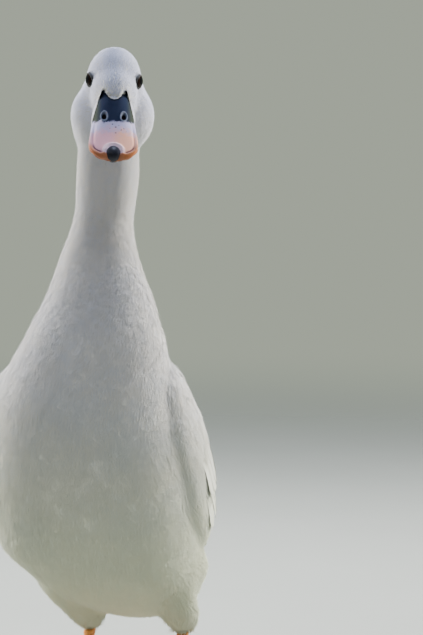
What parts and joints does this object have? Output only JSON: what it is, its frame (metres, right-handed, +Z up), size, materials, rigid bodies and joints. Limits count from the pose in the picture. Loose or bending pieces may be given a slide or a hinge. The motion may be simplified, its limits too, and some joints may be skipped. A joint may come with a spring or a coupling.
{
  "type": "indian runner duck",
  "caption": "White Indian runner duck, a life-size still model standing upright on webbed feet with its head turned to its left.",
  "frame": {"origin": "centre of the model's box on the floor between the feet", "axes": "+Z up, the duck's body faces -Y, +X towards its left side"},
  "size_m": [0.1544, 0.286, 0.419],
  "materials": {
    "plumage": "soft white feathers, velvety on the head and neck",
    "bill": "smooth horn, dusky blue-grey at the base and salmon towards the tip",
    "nail": "glossy black horn",
    "eye": "wet dark brown eye",
    "leg": "scaly orange skin",
    "claw": "dark horn"
  },
  "bodies": {
    "root": {"head": "plumage", "neck": "plumage", "torso": "plumage", "tail": "plumage", "wing_left": "plumage", "wing_right": "plumage", "thigh_left": "plumage", "thigh_right": "plumage", "bill_upper": "bill", "bill_lower": "bill", "bill_nail": "nail", "eye_left": "eye", "eye_right": "eye", "shank_left": "leg", "shank_right": "leg", "foot_left": "leg", "foot_right": "leg", "claw_left_inner": "claw", "claw_left_middle": "claw", "claw_left_outer": "claw", "claw_left_hind": "claw", "claw_right_inner": "claw", "claw_right_middle": "claw", "claw_right_outer": "claw", "claw_right_hind": "claw"}
  },
  "joints": []
}
